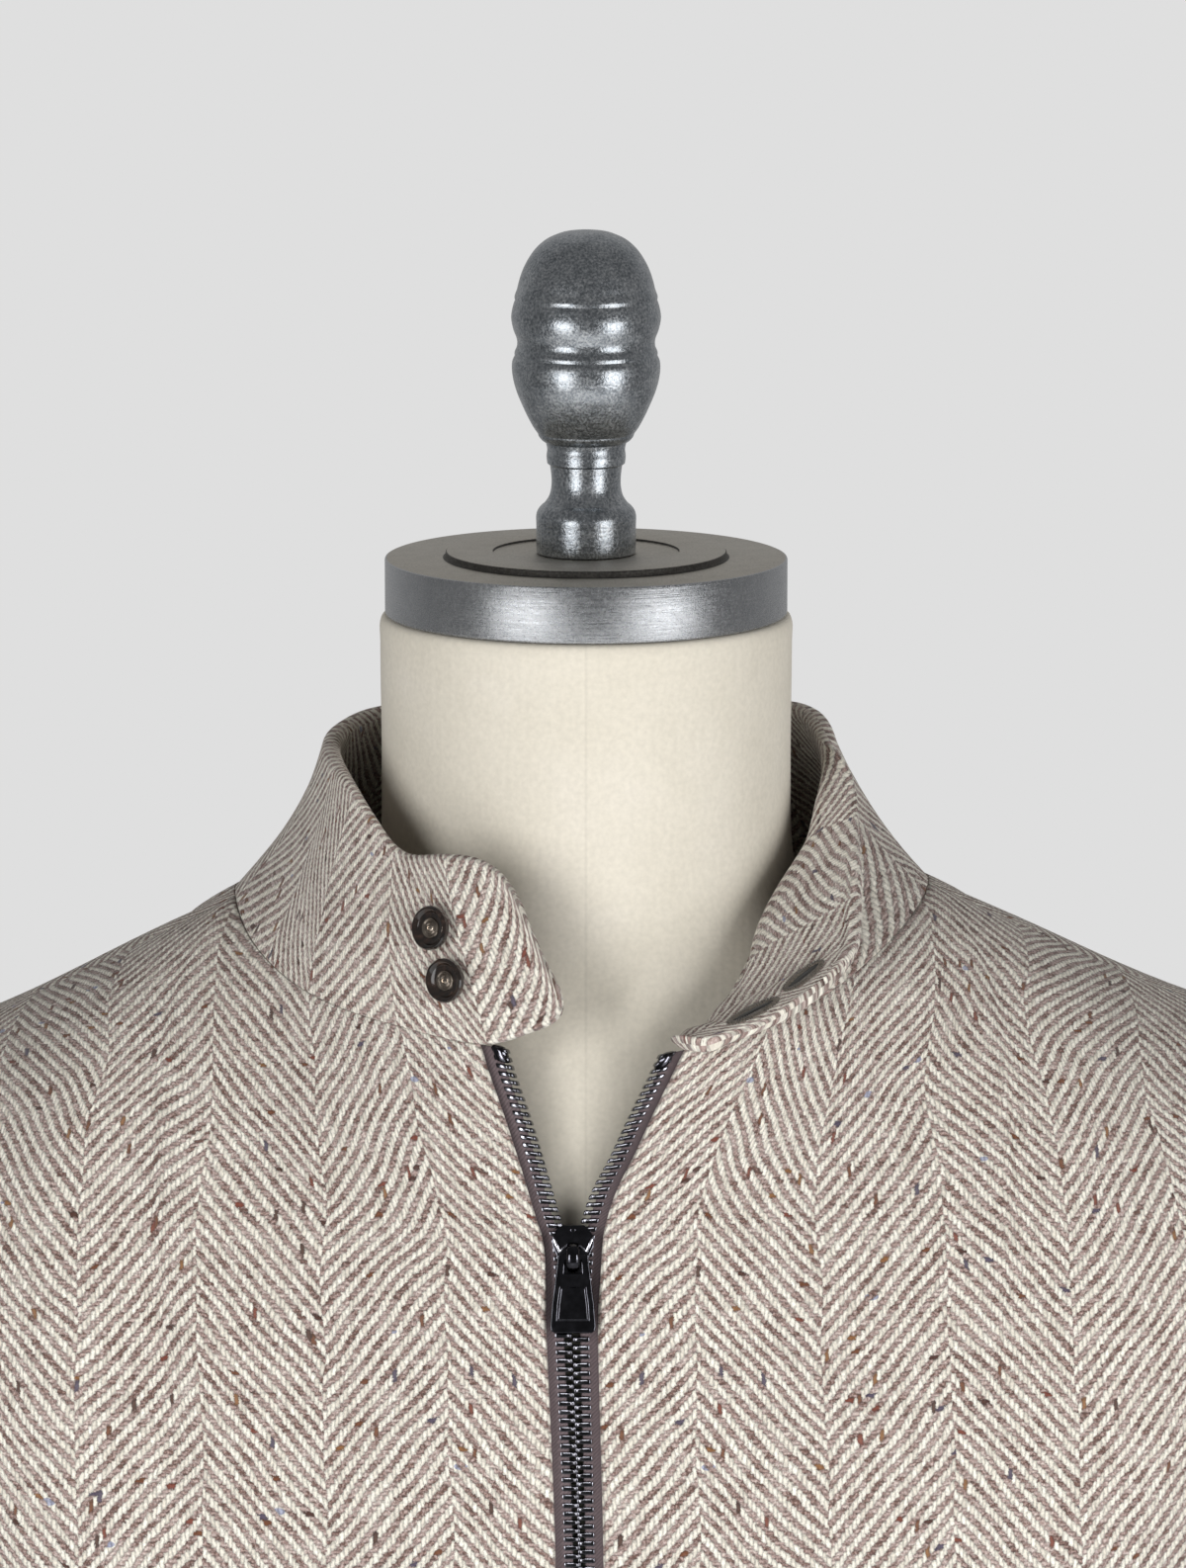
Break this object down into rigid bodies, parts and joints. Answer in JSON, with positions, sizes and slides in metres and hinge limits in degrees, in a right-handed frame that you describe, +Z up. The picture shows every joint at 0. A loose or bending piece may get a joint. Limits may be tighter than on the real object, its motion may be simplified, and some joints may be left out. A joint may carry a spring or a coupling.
{
  "type": "overcoat on a tailor's dress form",
  "caption": "Hip-length wool overcoat with a zip front and an unbuttoned stand collar, worn by a limbless tailor's dress form on a round stand.",
  "frame": {"origin": "middle of the stand base's underside, on the floor", "axes": "+Z up the form's pole and neck, -Y the way the coat faces, +X the wearer's left"},
  "size_m": [0.586, 0.42, 1.6574],
  "materials": {
    "herringbone_wool": "coarse woven herringbone wool, matt",
    "cream_canvas": "plain cream canvas, matt",
    "cast_aluminium": "polished casting with brushed edge",
    "black_painted_steel": "satin black paint",
    "zip_tape": "woven tape, matt",
    "gunmetal_teeth": "dark gunmetal plating",
    "black_nickel": "glossy black plating",
    "dark_horn": "polished dark horn"
  },
  "bodies": {
    "coat_on_form": {"stand_base": "black_painted_steel", "stand_pole": "black_painted_steel", "form_body": "cream_canvas", "neck_cap": "cast_aluminium", "finial": "cast_aluminium", "back_panel": "herringbone_wool", "front_left": "herringbone_wool", "front_right": "herringbone_wool", "collar": "herringbone_wool", "sleeve_left_top": "herringbone_wool", "sleeve_left_under": "herringbone_wool", "sleeve_right_top": "herringbone_wool", "sleeve_right_under": "herringbone_wool", "zip_tape_left": "zip_tape", "zip_tape_right": "zip_tape", "zip_teeth_left": "gunmetal_teeth", "zip_teeth_right": "gunmetal_teeth", "zip_slider": "black_nickel", "zip_retainer": "black_nickel", "button_upper": "dark_horn", "button_lower": "dark_horn"},
    "zip_pull_tab": {"zip_pull": "black_nickel"}
  },
  "joints": [
    {"name": "pull_tab_hinge", "type": "hinge", "parent": "coat_on_form", "child": "zip_pull_tab", "pos_m": [-0.00354, -0.11492, 1.38015], "axis": [-1, 0, 0], "range_deg": [0, 170]}
  ]
}
